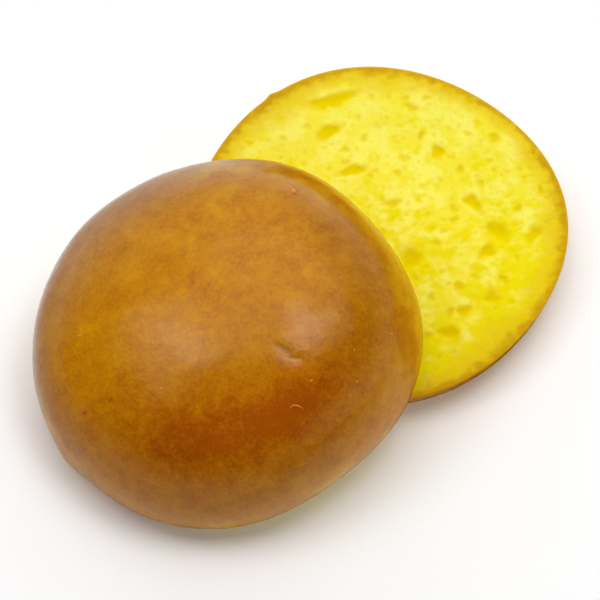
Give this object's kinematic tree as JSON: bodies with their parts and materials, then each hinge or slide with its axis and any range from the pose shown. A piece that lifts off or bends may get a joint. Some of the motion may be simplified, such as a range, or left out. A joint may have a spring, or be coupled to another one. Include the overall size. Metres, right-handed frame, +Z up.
{
  "type": "hamburger bun",
  "caption": "Soft round sandwich bun sliced in two: a flat heel with its yellow crumb face up, and a glossy brown domed crown leaning on its edge.",
  "frame": {"origin": "on the table, under the middle of the box round both halves", "axes": "+Z up; the heel lies towards +X and +Y, and the crown leans down towards -X and -Y"},
  "size_m": [0.14, 0.1414, 0.0544],
  "materials": {
    "crust": "glossy egg-washed brown crust",
    "crumb": "matt open yellow crumb"
  },
  "bodies": {
    "root": {"crown": "crust", "heel": "crumb"}
  },
  "joints": []
}
